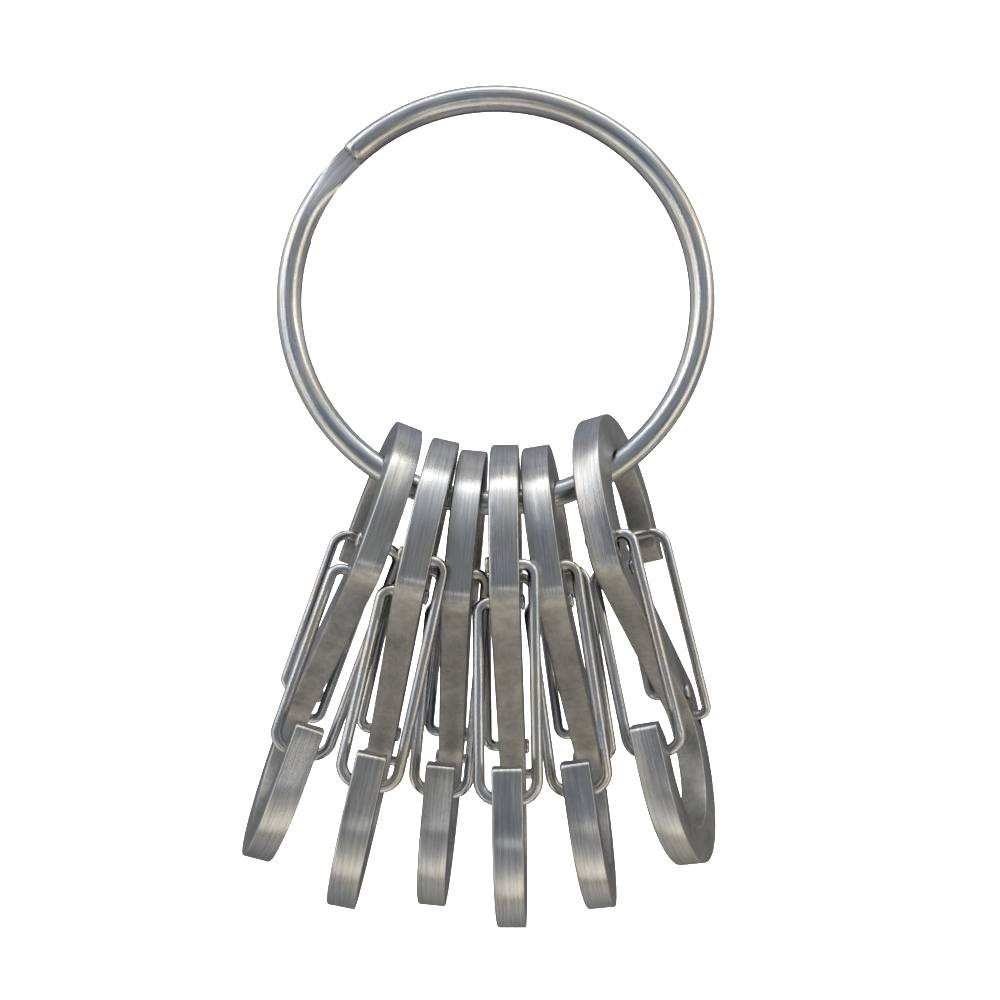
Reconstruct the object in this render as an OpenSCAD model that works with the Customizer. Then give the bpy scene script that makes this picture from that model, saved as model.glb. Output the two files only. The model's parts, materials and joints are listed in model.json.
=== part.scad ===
// Split key ring that carries six S-shaped clips, each with two spring wire gates.
// The ring hangs in the XZ plane, +Y runs away from the front, and the origin is where the
// ring hangs: the middle of its inner edge at the top.

/* [Split ring] */
// Outer diameter of the ring
ring_od = 50.8; // [46:0.1:62]
// Width of the half-round wire, measured along the ring's radius
ring_wire_w = 2.9; // [2.4:0.05:3.6]
// Seam between the two turns
ring_seam = 0.06; // [0.04:0.01:0.2]
// Arc that the step from the front turn to the back turn takes, in degrees
step_arc = 24; // [18:1:40]
// Where the step stands, in degrees up from the ring's right-hand side
step_at = 148; // [60:1:170]
// Gap between each cut end and the step, in degrees
end_gap = 1.2; // [0.6:0.1:3]

/* [Clip plate] */
// Thickness of the plate
plate_t = 3.0; // [2:0.1:3.6]
// Outer radius of both loops, which is half the plate's width
loop_outer_r = 12; // [11:0.1:15]
// Inner radius of both loops
loop_inner_r = 8; // [6.5:0.1:9]
// How far each loop's hole sits towards its nose, which leaves the stem wider than the nose
loop_shift = 0.7; // [0:0.1:1.2]
// Distance between the centres of the two loops
loop_pitch = 27.4; // [24:0.1:36]
// Height of the outer bend, where the stem turns into the diagonal bar
bend_out_w = 8.5; // [7:0.1:10]
// Height of the inner bend on the same stem
bend_in_w = 11; // [10:0.1:13]
// Radius of the outer bend
bend_out_r = 4; // [2:0.1:6]
// Radius of the inner bend
bend_in_r = 5; // [2:0.1:6]
// Height of the nose's tip above (or below) the plate's middle
nose_w = 8; // [6:0.1:9.5]
// Flat left at the nose's tip
nose_flat = 1.8; // [1:0.1:2.6]
// Length of the slope on the inner side of the nose
nose_slope = 2.2; // [1:0.1:2.6]
// Radius on the outer corner of the nose
nose_r = 0.5; // [0.2:0.1:1]

/* [Wire gates] */
// Diameter of the gate wire
wire_d = 1.2; // [0.8:0.05:1.3]
// Outer width of a gate across its two legs
gate_w = 7.0; // [6.6:0.1:8]
// Inner radius of the two corners at the closed end
gate_corner_r = 1.3; // [0.8:0.1:1.5]
// Inner radius of the bend from a leg into the plate
hole_bend_r = 0.5; // [0.3:0.05:0.7]
// How far the closed end sits beyond the nose's tip, measured to the wire's centre
seat_depth = 3.6; // [3:0.1:4.5]
// How deep the wire sits in its seat on the inner side of the nose
seat_bite = 0.15; // [0.05:0.05:0.4]
// Upper hole, for the longer leg: distance from the plate's middle towards the stem
long_hole_u = 9.8; // [9.4:0.1:10]
// Upper hole: height above the plate's middle
long_hole_w = 11.6; // [11:0.1:13]
// Lower hole, for the shorter leg: distance from the plate's middle towards the stem
short_hole_u = 6.6; // [6:0.1:7.5]
// Lower hole: height above the plate's middle
short_hole_w = 8.0; // [7:0.1:8.5]
// Clearance between the wire and its hole, and between the wire and its seat, all round
wire_clear = 0.06; // [0.03:0.01:0.1]
// Diameter of the peened head on each wire end
head_d = 1.7; // [1.5:0.05:2]
// Height of the peened head
head_h = 0.45; // [0.3:0.05:0.7]

/* [Hang] */
// Gap between a clip and the ring at their nearest point
hang_gap = 0.12; // [0.08:0.01:0.2]

/* [Hidden] */
$fn = 96;
eps = 0.01;

// How each clip hangs, from the left: [where it sits round the ring, roll of the plate,
// yaw of the plate, lean fore and aft, shift along the ring's axis], in degrees and mm
HANG = [
    [-30.1, -19.1, -14.6, 1.7, 1.3],
    [-16.6, -12.3, -3.3, -1.4, -1.2],
    [-7.0, -5.2, 0.5, 2.5, 1.8],
    [3.2, 0.9, 2.4, -2.1, -1.8],
    [13.6, 8.0, 8.3, 0.5, 0.5],
    [32.4, 12.2, 21.5, 1.0, 1.7]];
// Plate thickness that those places are for; thicker plates hang further apart in proportion
hang_plate_t = 3.0;
spread = plate_t / hang_plate_t;

ring_or = ring_od / 2;
ring_ir = ring_or - ring_wire_w;
ring_mid_r = ring_or - ring_wire_w / 2;
turn_r = ring_wire_w / 2;
ring_half_t = turn_r + ring_seam / 2;
// Half width and half height of the wire where it steps over; both fit inside a turn
step_half_w = turn_r * 0.78;
step_half_h = turn_r * 0.42;
step_shift = turn_r * 0.45 + ring_seam / 2;
step_tilt = atan(step_shift / (ring_mid_r * sin(step_arc / 2)));

loop_w = loop_pitch / 2;
nose_in = loop_inner_r + loop_shift;
stem_in = loop_inner_r - loop_shift;
wire_r = wire_d / 2;
leg_x = gate_w / 2 - wire_r;
corner_mid_r = gate_corner_r + wire_r;
bend_mid_r = hole_bend_r + wire_r;
seat = [nose_in - wire_r - wire_clear + seat_bite, -nose_w - seat_depth];
long_hole = [long_hole_u, long_hole_w];
short_hole = [short_hole_u, short_hole_w];
hole_r = wire_r + wire_clear;

// Unit vector from a to b
function toward(a, b) = (b - a) / norm(b - a);

// The sliver between a corner at p and the arc of radius r that rounds it; a and b are
// points on its two edges
module corner_sliver(p, a, b, r) {
    da = toward(p, a);
    db = toward(p, b);
    half = acos(da * db) / 2;
    middle = p + (da + db) / norm(da + db) * r / sin(half);
    reach = r / tan(half);
    difference() {
        polygon([p, p + da * reach, middle, p + db * reach]);
        translate(middle) circle(r = r);
    }
}

// The space inside the lower hook and its mouth, in the plate's own plane:
// x towards the front, y up
module hook_space() {
    out_bend = [loop_outer_r, bend_out_w];
    in_bend = [-stem_in, -bend_in_w];
    beyond = out_bend + toward(in_bend, out_bend) * 3;
    tip = [loop_outer_r, -nose_w];
    far = beyond[0];
    difference() {
        union() {
            polygon([[-stem_in, -loop_w], in_bend, beyond, [far, -nose_w],
                [nose_in, -nose_w], [nose_in, -loop_w]]);
            translate([loop_shift, -loop_w]) circle(r = loop_inner_r);
            corner_sliver(out_bend, [loop_outer_r, loop_w], in_bend, bend_out_r);
            polygon([[nose_in - eps, -nose_w + eps], [loop_outer_r - nose_flat, -nose_w],
                [nose_in, -nose_w - nose_slope], [nose_in - eps, -nose_w - nose_slope]]);
            corner_sliver(tip, [nose_in, -nose_w], [loop_outer_r, -loop_w], nose_r);
            translate(seat) circle(r = hole_r);
        }
        corner_sliver(in_bend, out_bend, [-stem_in, -loop_w], bend_in_r);
    }
}

// Outline of the S-shaped plate
module plate_outline() {
    difference() {
        union() {
            square([2 * loop_outer_r, loop_pitch], center = true);
            for (side = [-1, 1])
                translate([0, side * loop_w]) circle(r = loop_outer_r);
        }
        hook_space();
        rotate(180) hook_space();
    }
}

// The plate with the four holes that its gates turn in
module plate() {
    rotate([90, 0, -90])
        difference() {
            translate([0, 0, -plate_t / 2])
                linear_extrude(height = plate_t) plate_outline();
            for (turn = [0, 180], hole = [long_hole, short_hole])
                rotate(turn) translate([hole[0], hole[1], -plate_t])
                    cylinder(h = 2 * plate_t, r = hole_r);
        }
}

// One half of a gate, from the middle of its closed end to the head on its wire end.
// side is 1 for the right-hand leg and -1 for the left-hand leg.
module gate_half(hole, side) {
    leg = hole - seat;
    leg_tilt = atan2(leg[0], leg[1]);
    leg_run = norm(leg);
    through = leg_x - bend_mid_r + plate_t / 2 + wire_clear;
    translate([0, -seat[0], seat[1]])
        rotate([leg_tilt, 0, 0])
        mirror([side > 0 ? 0 : 1, 0, 0]) {
            rotate([0, 90, 0])
                translate([0, 0, -eps]) cylinder(h = leg_x - corner_mid_r + eps, r = wire_r);
            translate([leg_x - corner_mid_r, 0, corner_mid_r])
                rotate([90, 0, 0])
                rotate_extrude(angle = 90, start = -90)
                translate([corner_mid_r, 0]) circle(r = wire_r);
            translate([leg_x, 0, corner_mid_r])
                cylinder(h = leg_run - corner_mid_r - bend_mid_r, r = wire_r);
            translate([leg_x - bend_mid_r, 0, leg_run - bend_mid_r])
                rotate([90, 0, 0])
                rotate_extrude(angle = 90, start = 0)
                translate([bend_mid_r, 0]) circle(r = wire_r);
            translate([leg_x - bend_mid_r, 0, leg_run])
                rotate([0, -90, 0]) {
                    cylinder(h = through + head_h, r = wire_r);
                    translate([0, 0, through]) cylinder(h = head_h, d = head_d);
                }
        }
}

// The lower gate of a clip, closed, in the clip's own place
module gate() {
    gate_half(long_hole, 1);
    gate_half(short_hole, -1);
}

// Hangs a clip's piece on the ring as HANG says: the ring's wire lies in the upper hook,
// and the plate tilts about the wire
module hang(i) {
    at = HANG[i][0] * spread;
    roll = HANG[i][1] * spread;
    yaw = HANG[i][2];
    lean = HANG[i][3];
    slip = HANG[i][4];
    edge_room = plate_t / 2 * abs(sin(at - roll)) + pow(plate_t, 2) / (8 * ring_ir);
    reach = loop_inner_r - ring_half_t - hang_gap - edge_room;
    translate([0, 0, -ring_ir])
        rotate([0, -at, 0]) translate([0, 0, -ring_mid_r])
        rotate([0, at - roll, 0])
        rotate([0, 0, -yaw])
        rotate([lean, 0, 0])
        translate([0, slip - loop_shift, -sqrt(pow(reach, 2) - pow(slip, 2)) - loop_w])
        children();
}

// Half-round section of the front turn
module turn_section() {
    translate([ring_mid_r, 0])
        intersection() {
            translate([0, ring_seam / 2]) circle(r = turn_r);
            translate([-turn_r - 1, ring_seam / 2]) square([2 * turn_r + 2, turn_r + 1]);
        }
}

// Flattened section that the wire has where it steps from one turn to the other
module step_section() {
    straight = step_half_w - step_half_h;
    translate([ring_mid_r, 0]) {
        square([2 * straight, 2 * step_half_h], center = true);
        for (side = [-1, 1])
            translate([side * straight, 0]) circle(r = step_half_h);
    }
}

module split_ring() {
    arc = 360 - step_arc / 2 - end_gap;
    color("silver")
        translate([0, 0, -ring_ir])
        rotate([0, -step_at, 0]) rotate([90, 0, 0]) {
            rotate_extrude(angle = arc, start = 0) turn_section();
            mirror([0, 1, 0]) mirror([0, 0, 1]) rotate_extrude(angle = arc, start = 0)
                turn_section();
            rotate([step_tilt, 0, 0]) rotate_extrude(angle = step_arc, start = -step_arc / 2)
                step_section();
        }
}

module clip_body(i) {
    color("lightgray") hang(i) plate();
}

module lower_gate(i) {
    color("gainsboro") hang(i) gate();
}

module upper_gate(i) {
    color("gainsboro") hang(i) rotate([180, 0, 0]) gate();
}

split_ring();
for (i = [0 : len(HANG) - 1]) {
    clip_body(i);
    lower_gate(i);
    upper_gate(i);
}
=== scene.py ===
import json
import math
import random

import bmesh
import bpy
from mathutils import Matrix, Vector
from mathutils.geometry import delaunay_2d_cdt


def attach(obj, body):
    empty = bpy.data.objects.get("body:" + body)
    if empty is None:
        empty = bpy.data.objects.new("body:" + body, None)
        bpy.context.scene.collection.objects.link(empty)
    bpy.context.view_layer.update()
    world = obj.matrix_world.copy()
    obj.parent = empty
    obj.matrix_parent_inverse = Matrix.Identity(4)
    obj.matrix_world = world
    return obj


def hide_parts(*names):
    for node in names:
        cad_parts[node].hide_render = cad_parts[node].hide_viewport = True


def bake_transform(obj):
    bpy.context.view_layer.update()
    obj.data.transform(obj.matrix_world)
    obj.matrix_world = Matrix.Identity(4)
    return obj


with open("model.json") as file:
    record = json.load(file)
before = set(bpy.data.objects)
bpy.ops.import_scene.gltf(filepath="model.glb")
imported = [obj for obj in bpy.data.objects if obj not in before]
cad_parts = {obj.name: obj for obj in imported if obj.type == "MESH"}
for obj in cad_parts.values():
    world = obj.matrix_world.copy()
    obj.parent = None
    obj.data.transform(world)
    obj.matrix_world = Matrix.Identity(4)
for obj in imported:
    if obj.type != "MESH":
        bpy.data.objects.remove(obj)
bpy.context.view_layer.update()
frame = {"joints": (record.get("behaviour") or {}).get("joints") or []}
MM = 0.001
CLIPS = range(1, 7)

# Sizes of the clip, in mm, in its own plane: u towards the front, w up
PLATE_T = 3.0
OUTER_R = 12.0
INNER_R = 8.0
SHIFT = 0.7
LOOP_W = 13.7
NOSE_W = 8.0
NOSE_FLAT = 1.8
NOSE_SLOPE = 2.2
OUT_BEND = (12.0, 8.5)
IN_BEND = (-7.3, -11.0)
SEAT = (8.19, -11.6)
HOLE_R = 0.66
LONG_HOLE = (9.8, 11.6)
SHORT_HOLE = (6.6, 8.0)
PIVOT = (8.2, 9.8)
WIRE_R = 0.6
LEG_X = 2.9
CORNER_R = 1.9
BEND_R = 1.1
NOSE_R = 0.5
OUT_BEND_R = 4.0
IN_BEND_R = 5.0
EDGE_ROLL = 0.26
HOLE_LIP = 0.1
HOLE_SIDES = 24
FILL_MARGIN = 0.02
WIRE_CLEAR = 0.06
WIRE_SIDES = 20
# Each ring of a peened head: how far it stands beyond the plate, and its radius
HEAD = ((0.0, 0.6), (0.02, 0.8), (0.1, 0.85), (0.22, 0.85), (0.34, 0.76), (0.42, 0.55), (0.45, 0.2))

# Sizes of the ring, in mm
RING_MID_R = 23.95
TURN_R = 1.45
SEAM = 0.06
STEP_AT = 148.0
STEP_HALF = 12.0
END_GAP = 1.2
RING_Z = -22.5
RING_SIDES = 40
RING_AROUND = 7.0
SEAM_EDGE = 0.12
TURN_SCALE = 0.995
CUT_END_SCALE = 0.9

# How far apart the pieces' grain is taken, in mm, so that no two show the same marks
PLATE_GRAIN_STEP = 40.0
GATE_GRAIN_STEP = 31.0
GATE_GRAIN_SHIFT = 7.0


# ---------------------------------------------------------------- materials
def material(name):
    m = bpy.data.materials.new(name)
    m.use_nodes = True
    nodes = m.node_tree.nodes
    return m, nodes, m.node_tree.links, nodes["Principled BSDF"]


def ramp(nodes, links, source, stops):
    """Colour that goes through the stops, (place, colour), as the source goes from 0 to 1."""
    r = nodes.new("ShaderNodeValToRGB")
    e = r.color_ramp.elements
    e[0].position, e[0].color = stops[0][0], (*stops[0][1], 1)
    e[1].position, e[1].color = stops[-1][0], (*stops[-1][1], 1)
    for at, colour in stops[1:-1]:
        e.new(at).color = (*colour, 1)
    links.new(source, r.inputs["Fac"])
    return r.outputs["Color"]


def noise(nodes, links, vector, scale, detail, rough, stretch=(1, 1, 1)):
    mapping = nodes.new("ShaderNodeMapping")
    mapping.inputs["Scale"].default_value = stretch
    links.new(vector, mapping.inputs["Vector"])
    n = nodes.new("ShaderNodeTexNoise")
    n.inputs["Scale"].default_value = scale
    n.inputs["Detail"].default_value = detail
    n.inputs["Roughness"].default_value = rough
    links.new(mapping.outputs["Vector"], n.inputs["Vector"])
    return n.outputs["Fac"]


def span(nodes, links, source, low, high, from_low=0.3, from_high=0.7):
    """The source's range taken to low and high; a noise stays mostly within 0.3 to 0.7."""
    r = nodes.new("ShaderNodeMapRange")
    r.inputs["From Min"].default_value = from_low
    r.inputs["From Max"].default_value = from_high
    r.inputs["To Min"].default_value = low
    r.inputs["To Max"].default_value = high
    links.new(source, r.inputs["Value"])
    return r.outputs["Result"]


def bump(nodes, links, height, strength, distance, below=None):
    b = nodes.new("ShaderNodeBump")
    b.inputs["Strength"].default_value = strength
    b.inputs["Distance"].default_value = distance
    links.new(height, b.inputs["Height"])
    if below:
        links.new(below, b.inputs["Normal"])
    return b.outputs["Normal"]


def multiply(nodes, links, a, b, amount=1.0):
    """Colour a darkened or tinted by colour b, by that amount."""
    m = nodes.new("ShaderNodeMix")
    m.data_type = "RGBA"
    m.blend_type = "MULTIPLY"
    m.inputs["Factor"].default_value = amount
    links.new(a, m.inputs["A"])
    links.new(b, m.inputs["B"])
    return m.outputs["Result"]


def streaked_steel(name, colours, rough, streaks, anisotropy, pits=0.15):
    """Steel with fine lines along the piece's length: UV x runs along it and y across, in mm."""
    m, nodes, links, bsdf = material(name)
    texture = nodes.new("ShaderNodeTexCoord")
    uv, place = texture.outputs["UV"], texture.outputs["Object"]
    fine = noise(nodes, links, uv, 1.0, 5.0, 0.7, (0.25, streaks, 1))
    broad = noise(nodes, links, uv, 1.0, 3.0, 0.5, (0.12, streaks * 0.28, 1))
    cloud = noise(nodes, links, place, 160.0, 3.0, 0.5)
    speck = noise(nodes, links, place, 1900.0, 2.0, 0.5)
    base = ramp(nodes, links, cloud, colours)
    lines = ramp(nodes, links, broad, [(0.3, (0.7, 0.705, 0.72)), (0.62, (1.0, 1.0, 1.0))])
    scratches = ramp(nodes, links, fine, [(0.36, (0.72, 0.72, 0.73)), (0.56, (1.0, 1.0, 1.0))])
    lined = multiply(nodes, links, multiply(nodes, links, base, lines, 0.8), scratches, 0.8)
    links.new(lined, bsdf.inputs["Base Color"])
    links.new(span(nodes, links, fine, rough[0], rough[1]), bsdf.inputs["Roughness"])
    under = bump(nodes, links, fine, 0.5, 0.00004)
    links.new(bump(nodes, links, speck, pits, 0.00003, under), bsdf.inputs["Normal"])
    bsdf.inputs["Metallic"].default_value = 1.0
    if anisotropy:
        bsdf.inputs["Anisotropic"].default_value = anisotropy
        tangent = nodes.new("ShaderNodeTangent")
        tangent.direction_type = "UV_MAP"
        links.new(tangent.outputs["Tangent"], bsdf.inputs["Tangent"])
    return m


def mottled_steel(name, colours, rough, grain, depth):
    """Steel as it is left by the punch: fine grain, soft clouds of warm and cool grey."""
    m, nodes, links, bsdf = material(name)
    place = nodes.new("ShaderNodeTexCoord").outputs["Object"]
    cloud = noise(nodes, links, place, 240.0, 5.0, 0.65)
    patch = noise(nodes, links, place, 70.0, 2.0, 0.5)
    fine = noise(nodes, links, place, grain, 4.0, 0.7)
    base = ramp(nodes, links, cloud, colours)
    shade = ramp(nodes, links, fine, [(0.3, (0.72, 0.71, 0.7)), (0.6, (1.0, 1.0, 1.0))])
    links.new(multiply(nodes, links, base, shade, 0.75), bsdf.inputs["Base Color"])
    links.new(span(nodes, links, patch, rough[0], rough[1]), bsdf.inputs["Roughness"])
    under = bump(nodes, links, cloud, 0.25, 0.00012)
    links.new(bump(nodes, links, fine, depth, 0.00006, under), bsdf.inputs["Normal"])
    bsdf.inputs["Metallic"].default_value = 1.0
    return m


RING_STEEL = streaked_steel(
    "ring_steel_polished",
    [(0.32, (0.56, 0.58, 0.62)), (0.5, (0.68, 0.68, 0.68)), (0.68, (0.69, 0.65, 0.59))],
    (0.06, 0.17), 9.0, 0.0)
BRUSHED = streaked_steel(
    "plate_edge_brushed",
    [(0.3, (0.5, 0.52, 0.56)), (0.5, (0.62, 0.62, 0.62)), (0.7, (0.62, 0.59, 0.53))],
    (0.1, 0.27), 12.0, 0.3)
FACE = mottled_steel(
    "plate_face_satin",
    [(0.3, (0.33, 0.34, 0.35)), (0.55, (0.43, 0.43, 0.435)), (0.75, (0.5, 0.49, 0.47))],
    (0.26, 0.4), 900.0, 0.3)
PUNCHED = mottled_steel(
    "plate_inner_punched",
    [(0.3, (0.37, 0.37, 0.37)), (0.5, (0.48, 0.47, 0.455)), (0.72, (0.6, 0.58, 0.55))],
    (0.34, 0.5), 1500.0, 0.65)
WIRE_STEEL = streaked_steel(
    "gate_wire_steel",
    [(0.3, (0.56, 0.58, 0.64)), (0.5, (0.7, 0.7, 0.7)), (0.7, (0.72, 0.66, 0.55))],
    (0.06, 0.16), 8.0, 0.0, 0.2)
PLATE_MATERIALS = (BRUSHED, PUNCHED, FACE)
OUTER, INNER, SIDE = range(3)


# ---------------------------------------------------------------- outline of the plate
def arc(centre, radius, start, end, step=4.0):
    """Points on an arc between two angles, in degrees, about one to each step."""
    count = max(2, int(abs(end - start) / step) + 1)
    found = []
    for i in range(count + 1):
        a = math.radians(start + (end - start) * i / count)
        found.append((centre[0] + radius * math.cos(a), centre[1] + radius * math.sin(a)))
    return found


def rounded(before, corner, after, radius, count=8):
    """Points on the arc of that radius in the corner between two straight lines."""
    p = Vector(corner)
    a = (Vector(before) - p).normalized()
    b = (Vector(after) - p).normalized()
    half = a.angle(b) / 2
    middle = p + (a + b).normalized() * radius / math.sin(half)
    first = p + a * radius / math.tan(half) - middle
    last = p + b * radius / math.tan(half) - middle
    turn = first.angle(last)
    sign = 1 if first.cross(last) > 0 else -1
    found = []
    for i in range(count + 1):
        q = first.copy()
        q.rotate(Matrix.Rotation(sign * turn * i / count, 2))
        found.append(tuple(middle + q))
    return found


def straight(a, b, step=1.2):
    """Points between a and b, without the two ends."""
    a, b = Vector(a), Vector(b)
    count = int((b - a).length / step)
    return [tuple(a.lerp(b, i / (count + 1))) for i in range(1, count + 1)]


def half_outline():
    """From the lower nose's tip, round the outside of the lower hook, to the upper hook's hole
    and nose: the list of (point, zone)."""
    out = []

    def add(points, zone):
        out.extend((tuple(p), zone) for p in points)

    nose_in = INNER_R + SHIFT
    back_bend = (-OUT_BEND[0], -OUT_BEND[1])
    front_bend = (-IN_BEND[0], -IN_BEND[1])
    tip = rounded((OUTER_R - NOSE_FLAT, -NOSE_W), (OUTER_R, -NOSE_W), (OUTER_R, -LOOP_W),
                  NOSE_R, 6)
    add(tip, OUTER)
    add(straight(tip[-1], (OUTER_R, -LOOP_W)), OUTER)
    add(arc((0, -LOOP_W), OUTER_R, 0, -180), OUTER)
    bend = rounded((-OUTER_R, -LOOP_W), back_bend, front_bend, OUT_BEND_R)
    add(straight((-OUTER_R, -LOOP_W), bend[0]), OUTER)
    add(bend[:4], OUTER)
    add(bend[4:], INNER)
    inner = rounded(back_bend, front_bend, (front_bend[0], LOOP_W), IN_BEND_R)
    add(straight(bend[-1], inner[0]), INNER)
    add(inner, INNER)
    add(straight(inner[-1], (front_bend[0], LOOP_W)), INNER)
    add(arc((-SHIFT, LOOP_W), INNER_R, 0, 180), INNER)
    notch = math.degrees(math.acos((nose_in - SEAT[0]) / HOLE_R))
    add(arc((-SEAT[0], -SEAT[1]), HOLE_R, 180 - notch, 180 + notch, 12.0), INNER)
    slope_top = (-nose_in, NOSE_W + NOSE_SLOPE)
    flat_in = (-OUTER_R + NOSE_FLAT, NOSE_W)
    add([slope_top], INNER)
    add(straight(slope_top, flat_in, 0.6), INNER)
    add([flat_in], OUTER)
    return out


def outline():
    """The whole plate's outline: its second half is the first one turned by 180 degrees."""
    half = half_outline()
    return half + [((-p[0], -p[1]), zone) for p, zone in half]


def normals_of(points):
    """Unit normal at each point of a closed line, pointing out of the plate's metal."""
    n = len(points)
    area = sum(points[i][0] * points[(i + 1) % n][1] - points[(i + 1) % n][0] * points[i][1]
               for i in range(n))
    sign = 1 if area > 0 else -1
    found = []
    for i in range(n):
        a = Vector(points[i]) - Vector(points[i - 1])
        b = Vector(points[(i + 1) % n]) - Vector(points[i])
        d = (a.normalized() + b.normalized()).normalized()
        found.append(Vector((d.y, -d.x)) * sign)
    return found


# ---------------------------------------------------------------- frames of the clips
def clip_frame(n):
    """Matrix from the clip's own place (x across, u to the front, w up, in mm) to the row frame."""
    joints = {j["name"]: j for j in frame["joints"]}
    low = joints[f"clip_{n}_lower_gate_hinge"]
    high = joints[f"clip_{n}_upper_gate_hinge"]
    x = Vector(low["axis"]).normalized()
    p, q = Vector(low["pos_m"]), Vector(high["pos_m"])
    v = ((p - q) / 2).normalized()
    side = x.cross(v)
    length = math.hypot(*PIVOT)
    z = (PIVOT[1] * v - PIVOT[0] * side) / length
    y = (-PIVOT[0] * v - PIVOT[1] * side) / length
    m = Matrix((x, -y, z)).transposed().to_4x4()
    m.translation = (p + q) / 2
    return m @ Matrix.Scale(MM, 4)


def band_faces(rows, sides, base=0):
    """Faces between neighbouring closed rows of that many vertices each."""
    return [(base + r * sides + i, base + r * sides + (i + 1) % sides,
             base + (r + 1) * sides + (i + 1) % sides, base + (r + 1) * sides + i)
            for r in range(rows - 1) for i in range(sides)]


def band_uvs(runs, sides, around):
    """UVs of those faces: x runs along the piece and y round it."""
    found = []
    for a, b in zip(runs, runs[1:]):
        for k in range(sides):
            y0, y1 = around * k / sides, around * (k + 1) / sides
            found.append(((a, y0), (a, y1), (b, y1), (b, y0)))
    return found


def cap_ends(faces, uvs, rows, sides, last_run):
    """Closes both ends of a tube with a flat face."""
    faces += [tuple(range(sides)), tuple((rows - 1) * sides + k for k in range(sides))]
    uvs += [((0.0, 0.0),) * sides, ((last_run, 0.0),) * sides]


def make_object(name, verts, faces, zones, uvs, materials, matrix, smooth_angle=35.0):
    """A mesh object from vertices in mm, faces, one zone per face and one UV per face corner."""
    me = bpy.data.meshes.new(name)
    me.from_pydata([matrix @ Vector(v) for v in verts], [], faces)
    for m in materials:
        me.materials.append(m)
    for poly, zone in zip(me.polygons, zones):
        poly.material_index = zone
        poly.use_smooth = True
    layer = me.uv_layers.new(name="UVMap")
    flat = [value for face in uvs for corner in face for value in corner]
    layer.data.foreach_set("uv", flat)
    me.update()
    bm = bmesh.new()
    bm.from_mesh(me)
    bmesh.ops.recalc_face_normals(bm, faces=bm.faces)
    limit = math.radians(smooth_angle)
    for e in bm.edges:
        if len(e.link_faces) == 2 and e.calc_face_angle(0) > limit:
            e.smooth = False
    bm.to_mesh(me)
    bm.free()
    me.validate()
    ob = bpy.data.objects.new(name, me)
    bpy.context.scene.collection.objects.link(ob)
    return ob


# ---------------------------------------------------------------- plates
def inside(p, loop):
    """Whether a point of the plane lies inside a closed line."""
    hit = False
    for i in range(len(loop)):
        a, b = loop[i - 1], loop[i]
        if (a.y > p.y) != (b.y > p.y):
            if p.x < a.x + (p.y - a.y) / (b.y - a.y) * (b.x - a.x):
                hit = not hit
    return hit


def plate_profile():
    """Across the thickness: (x, how far in from the outline) from one face to the other. One
    edge is rolled over by the punch and the other one is crisp."""
    half = PLATE_T / 2
    crisp = EDGE_ROLL * 0.5
    found = [(-half + EDGE_ROLL * (1 - math.cos(t)), EDGE_ROLL * (1 - math.sin(t)))
             for t in [math.radians(90 * i / 4) for i in range(5)]]
    found += [(half - crisp * (1 - math.cos(t)), crisp * (1 - math.sin(t)))
              for t in [math.radians(90 - 90 * i / 3) for i in range(4)]]
    return found


def add_hole(centre, rows, verts, faces, zones, uvs):
    """The wall of one hole, with a small countersink; returns its first vertex's number."""
    base = len(verts)
    for x, extra in rows:
        for i in range(HOLE_SIDES):
            a = math.tau * i / HOLE_SIDES
            verts.append((x, centre[0] + (HOLE_R + extra) * math.cos(a),
                          centre[1] + (HOLE_R + extra) * math.sin(a)))
    walls = band_faces(len(rows), HOLE_SIDES, base)
    faces += walls
    zones += [INNER] * len(walls)
    uvs += [((0, 0), (1, 0), (1, 1), (0, 1))] * len(walls)
    return base


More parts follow.
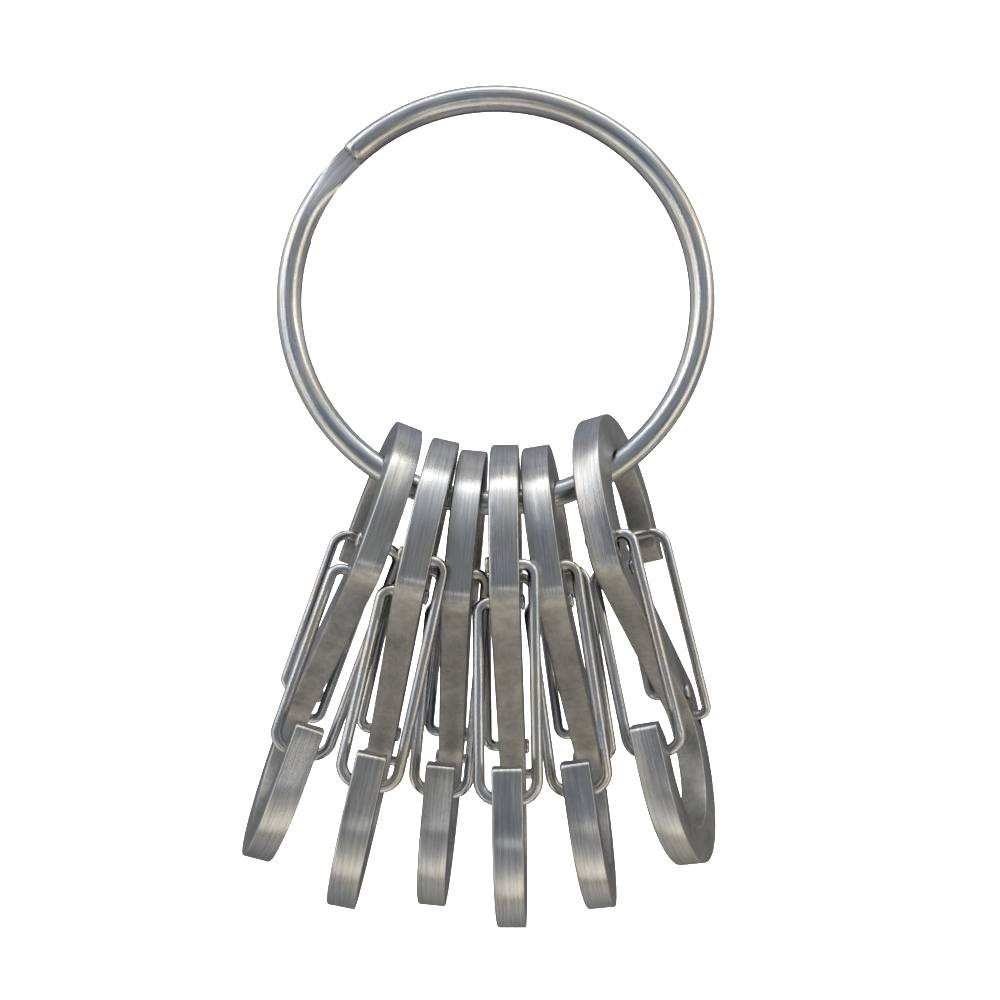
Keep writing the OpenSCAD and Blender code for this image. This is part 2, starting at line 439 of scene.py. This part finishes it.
def make_plate(n):
    points = outline()
    line = [p for p, _ in points]
    zone = [z for _, z in points]
    normal = normals_of(line)
    count = len(line)
    profile = plate_profile()
    rows = len(profile)
    grain = PLATE_GRAIN_STEP * n
    run = [grain]
    for i in range(count):
        run.append(run[-1] + (Vector(line[(i + 1) % count]) - Vector(line[i])).length)
    verts = [(x, p[0] - d.x * inset, p[1] - d.y * inset)
             for x, inset in profile for p, d in zip(line, normal)]
    faces = band_faces(rows, count)
    zones = zone * (rows - 1)
    uvs = [((run[i], low[0]), (run[i + 1], low[0]), (run[i + 1], high[0]), (run[i], high[0]))
           for low, high in zip(profile, profile[1:]) for i in range(count)]

    half = PLATE_T / 2
    holes = [(s * h[0], s * h[1]) for s in (1, -1) for h in (LONG_HOLE, SHORT_HOLE)]
    hole_rows = [(-half, HOLE_LIP), (-half + HOLE_LIP, 0.0), (half - HOLE_LIP, 0.0),
                 (half, HOLE_LIP)]
    hole_base = [add_hole(h, hole_rows, verts, faces, zones, uvs) for h in holes]

    # both faces, filled between the outline and the holes
    hole_reach = HOLE_R + HOLE_LIP - FILL_MARGIN
    for first, hole_row in ((0, 0), ((rows - 1) * count, len(hole_rows) - 1)):
        index = list(range(first, first + count))
        loops = [list(range(count))]
        for b in hole_base:
            loops.append(list(range(len(index), len(index) + HOLE_SIDES)))
            index += [b + hole_row * HOLE_SIDES + i for i in range(HOLE_SIDES)]
        flat = [Vector((verts[k][1], verts[k][2])) for k in index]
        rim = [flat[k] for k in loops[0]]
        edges = [(loop[i], loop[(i + 1) % len(loop)]) for loop in loops for i in range(len(loop))]
        for tri in delaunay_2d_cdt(flat, edges, [], 0, 1e-6)[2]:
            middle = sum((flat[k] for k in tri), Vector((0, 0))) / 3
            if not inside(middle, rim) or any((middle - Vector(h)).length < hole_reach
                                              for h in holes):
                continue
            faces.append(tuple(index[k] for k in tri))
            zones.append(SIDE)
            uvs.append(tuple((flat[k].x + grain, flat[k].y) for k in tri))
    ob = make_object(f"clip_{n}_plate", verts, faces, zones, uvs, PLATE_MATERIALS, clip_frame(n))
    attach(ob, f"clip_{n}")
    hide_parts(f"clip_{n}_body")


# ---------------------------------------------------------------- gates
def leg_path(hole, side):
    """Centreline from the middle of the closed end to the peened head, as (x, u, w)."""
    leg = (hole[0] - SEAT[0], hole[1] - SEAT[1])
    length = math.hypot(*leg)
    along = (leg[0] / length, leg[1] / length)
    flat = [(0.0, 0.0), ((LEG_X - CORNER_R) * 0.5, 0.0)]
    for i in range(11):
        a = math.radians(-90 + 90 * i / 10)
        flat.append((LEG_X - CORNER_R + CORNER_R * math.cos(a), CORNER_R + CORNER_R * math.sin(a)))
    top = length - BEND_R
    for i in range(1, 15):
        flat.append((LEG_X, CORNER_R + (top - CORNER_R) * i / 15))
    for i in range(9):
        a = math.radians(90 * i / 8)
        flat.append((LEG_X - BEND_R + BEND_R * math.cos(a), top + BEND_R * math.sin(a)))
    end = -(PLATE_T / 2 + WIRE_CLEAR)
    flat += [(x, length) for x in (1.5, 1.0, 0.0, -1.0, end)]
    return [(side * x, SEAT[0] + along[0] * s, SEAT[1] + along[1] * s) for x, s in flat]


def tube(path, radii):
    """Vertices, faces and UVs of a round tube along the path, closed at both ends."""
    path = [Vector(p) for p in path]
    verts, runs = [], [0.0]
    normal = None
    for i, p in enumerate(path):
        d = (path[min(i + 1, len(path) - 1)] - path[max(i - 1, 0)]).normalized()
        if normal is None:
            normal = d.orthogonal().normalized()
        else:
            normal = (normal - d * normal.dot(d)).normalized()
        other = d.cross(normal)
        for k in range(WIRE_SIDES):
            t = math.tau * k / WIRE_SIDES
            verts.append(p + (normal * math.cos(t) + other * math.sin(t)) * radii[i])
    for a, b in zip(path, path[1:]):
        runs.append(runs[-1] + (b - a).length)
    faces = band_faces(len(path), WIRE_SIDES)
    uvs = band_uvs(runs, WIRE_SIDES, math.tau * WIRE_R)
    cap_ends(faces, uvs, len(path), WIRE_SIDES, runs[-1])
    return verts, faces, uvs


def make_gate(n, which):
    turn = 1 if which == "lower" else -1
    right = leg_path(LONG_HOLE, 1)
    left = leg_path(SHORT_HOLE, -1)
    wire = left[::-1] + right[1:]
    # the right-hand leg's head stands on the left of the plate, and the other one on the right
    end = PLATE_T / 2 + WIRE_CLEAR
    lead = [(end + out, left[-1][1], left[-1][2]) for out, _ in reversed(HEAD)]
    tail = [(-(end + out), right[-1][1], right[-1][2]) for out, _ in HEAD]
    head_radii = [r for _, r in HEAD]
    radii = head_radii[::-1] + [WIRE_R] * len(wire) + head_radii
    path, kept = [], []
    for (x, u, w), r in zip(lead + wire + tail, radii):
        p = (x, turn * u, turn * w)
        if not path or (Vector(p) - Vector(path[-1])).length > 1e-4:
            path.append(p)
            kept.append(r)
    verts, faces, uvs = tube(path, kept)
    uvs = [tuple((a + GATE_GRAIN_STEP * n, b + GATE_GRAIN_SHIFT * turn) for a, b in f) for f in uvs]
    m = clip_frame(n)
    ob = make_object(f"clip_{n}_{which}_gate_wire", verts, faces, [0] * len(faces), uvs,
                     # the wire is left in the row frame, hung on no body, with its ends in their
                     # holes
                     (WIRE_STEEL,), m, 50.0)
    # the ends stay in their holes, and the legs bend between these two places
    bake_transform(ob)
    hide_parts(f"clip_{n}_{which}_gate")


# ---------------------------------------------------------------- ring
def turn_section(s):
    """Section of the ring's wire, as (outwards, towards the front): half-round and in front at
    s = 1, half-round and behind at s = -1, flattened in between."""
    found = []
    w = (s + 1) / 2
    for k in range(RING_SIDES):
        t = math.tau * k / RING_SIDES
        c, d = math.cos(t), math.sin(t)
        front = (TURN_R * c, SEAM / 2 + TURN_R * max(d, 0.0))
        back = (TURN_R * c, -SEAM / 2 + TURN_R * min(d, 0.0))
        if d < 0:
            front = ((TURN_R - SEAM_EDGE * min(1.0, -d * 6)) * c, SEAM / 2)
        if d > 0:
            back = ((TURN_R - SEAM_EDGE * min(1.0, d * 6)) * c, -SEAM / 2)
        found.append((front[0] * w + back[0] * (1 - w), front[1] * w + back[1] * (1 - w)))
    return found


def make_ring():
    # degrees along the wire from the middle of its step, closer together at the step
    last = 360.0 - STEP_HALF - END_GAP
    stops = []
    t = -last
    while t < last - 1e-6:
        stops.append(t)
        t += 0.75 if abs(t) < STEP_HALF + 1 else 1.5
    stops.append(last)
    random.seed(7)
    phase = [random.uniform(0, math.tau) for _ in range(2)]
    verts, runs = [], []
    for t in stops:
        scale = CUT_END_SCALE if abs(t) == last else TURN_SCALE
        s = math.sin(max(-1.0, min(1.0, t / STEP_HALF)) * math.pi / 2)
        a = math.radians(t + STEP_AT)
        wave = 0.012 * math.sin(2 * a + phase[0]) + 0.008 * math.sin(5 * a + phase[1])
        out = Vector((math.cos(a), 0, math.sin(a)))
        for radial, front in turn_section(s):
            r = RING_MID_R - abs(wave) + radial * scale
            verts.append(out * r + Vector((0, -front * scale, RING_Z)))
        runs.append((t + last) * math.radians(RING_MID_R))
    faces = band_faces(len(stops), RING_SIDES)
    uvs = band_uvs(runs, RING_SIDES, RING_AROUND)
    cap_ends(faces, uvs, len(stops), RING_SIDES, 1.0)
    ob = make_object("split_ring_wire", verts, faces, [0] * len(faces), uvs,
                     (RING_STEEL,), Matrix.Scale(MM, 4), 40.0)
    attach(ob, "ring")
    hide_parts("split_ring")


make_ring()
for number in CLIPS:
    make_plate(number)
    make_gate(number, "lower")
    make_gate(number, "upper")


# ---------------------------------------------------------------- studio
def area_light(name, place, target, size, power, colour):
    data = bpy.data.lights.new(name, "AREA")
    data.shape = "RECTANGLE"
    data.size, data.size_y = size
    data.energy = power
    data.color = colour
    ob = bpy.data.objects.new(name, data)
    bpy.context.scene.collection.objects.link(ob)
    ob.location = place
    ob.rotation_mode = "QUATERNION"
    ob.rotation_quaternion = (Vector(place) - Vector(target)).to_track_quat("Z", "Y")
    ob.visible_camera = False


def glow(name, colour, strength):
    """A plain material that also gives off light of its own colour."""
    m, _, _, bsdf = material(name)
    bsdf.inputs["Base Color"].default_value = (*colour, 1)
    bsdf.inputs["Roughness"].default_value = 1.0
    bsdf.inputs["Emission Color"].default_value = (*colour, 1)
    bsdf.inputs["Emission Strength"].default_value = strength
    return m


def bowl_backdrop():
    """Floor and wall in one curved pale sheet all round the object. The metal mirrors the soft
    surroundings beyond it instead, and it lets their light through."""
    flat_r, bend, floor, top, around = 0.6, 0.35, -0.135, 1.4, 64
    section = [(0.02, floor), (flat_r, floor)]
    for i in range(1, 13):
        a = math.radians(90 * i / 12)
        section.append((flat_r + bend * math.sin(a), floor + bend * (1 - math.cos(a))))
    section.append((flat_r + bend, top))
    turns = [math.tau * k / around for k in range(around)]
    verts = [(r * math.cos(a), r * math.sin(a), z) for r, z in section for a in turns]
    faces = band_faces(len(section), around)
    faces.append(tuple(reversed(range(around))))
    me = bpy.data.meshes.new("backdrop")
    me.from_pydata(verts, [], faces)
    for p in me.polygons:
        p.use_smooth = True
    me.materials.append(glow("backdrop_white", (1.0, 1.0, 1.0), 0.9))
    ob = bpy.data.objects.new("backdrop", me)
    bpy.context.scene.collection.objects.link(ob)
    ob.visible_glossy = False
    ob.visible_shadow = False


bowl_backdrop()
# Weak lights, because bare metal mirrors them
CENTRE = Vector((0, 0, -0.045))
area_light("key_left", (-0.34, -0.4, 0.22), CENTRE, (0.1, 0.6), 0.3, (1.0, 0.985, 0.95))
area_light("fill_right", (0.42, -0.28, 0.02), CENTRE, (0.08, 0.5), 0.14, (0.92, 0.96, 1.0))
area_light("top_strip", (0.02, -0.14, 0.42), CENTRE, (0.6, 0.08), 0.22, (1.0, 1.0, 1.0))
area_light("low_front", (0.05, -0.45, -0.26), CENTRE, (0.3, 0.06), 0.05, (1.0, 0.96, 0.9))


def studio_world():
    """Soft surroundings for the metal to mirror, by direction: grey in front, a pale band all
    round it, a thin dark line and grey beyond; cooler and brighter above, warmer below."""
    world = bpy.data.worlds.new("studio")
    bpy.context.scene.world = world
    world.use_nodes = True
    nodes, links = world.node_tree.nodes, world.node_tree.links
    direction = nodes.new("ShaderNodeTexCoord").outputs["Generated"]
    split = nodes.new("ShaderNodeSeparateXYZ")
    links.new(direction, split.inputs["Vector"])

    def band(source, stops):
        scaled = span(nodes, links, split.outputs[source], 0.0, 1.0, -1.0, 1.0)
        return ramp(nodes, links, scaled, [((at + 1) / 2, colour) for at, colour in stops])

    around = band("Y", [
        (-1.0, (0.21, 0.225, 0.245)), (-0.86, (0.25, 0.265, 0.285)), (-0.62, (0.5, 0.5, 0.5)),
        (-0.42, (1.0, 0.98, 0.93)), (-0.17, (1.15, 1.12, 1.02)), (-0.13, (0.16, 0.13, 0.1)),
        (-0.07, (0.2, 0.18, 0.15)), (-0.03, (0.5, 0.5, 0.5)), (0.35, (0.36, 0.37, 0.38)),
        (1.0, (0.1, 0.1, 0.11))])
    upright = band("Z", [
        (-1.0, (0.78, 0.755, 0.7)), (-0.3, (0.84, 0.82, 0.77)), (0.1, (0.88, 0.89, 0.9)),
        (0.5, (1.15, 1.17, 1.2)), (1.0, (1.0, 1.02, 1.06))])
    across = band("X", [
        (-1.0, (0.7, 0.72, 0.76)), (-0.75, (1.2, 1.2, 1.2)), (-0.45, (0.62, 0.64, 0.68)),
        (-0.1, (0.95, 0.95, 0.95)), (0.3, (1.05, 1.04, 1.0)), (0.55, (0.6, 0.58, 0.55)),
        (0.8, (1.15, 1.1, 1.0)), (1.0, (0.55, 0.53, 0.5))])
    colour = multiply(nodes, links, multiply(nodes, links, around, upright), across)
    background = nodes["Background"]
    links.new(colour, background.inputs["Color"])
    background.inputs["Strength"].default_value = 1.55


studio_world()
bpy.context.scene.view_settings.view_transform = "Standard"

# ---------------------------------------------------------------- camera
# Close in front and below the middle, looking up a little
camera_data = bpy.data.cameras.new("camera")
camera = bpy.data.objects.new("camera", camera_data)
bpy.context.scene.collection.objects.link(camera)
bpy.context.scene.camera = camera
camera.location = (0.0005, -0.104, -0.0585)
camera.rotation_euler = (math.radians(90 + 4.0), 0, 0)
camera_data.sensor_width = 36.0
camera_data.lens = 33.0
camera_data.shift_y = 0.045
camera_data.clip_start = 0.005
camera_data.clip_end = 5.0
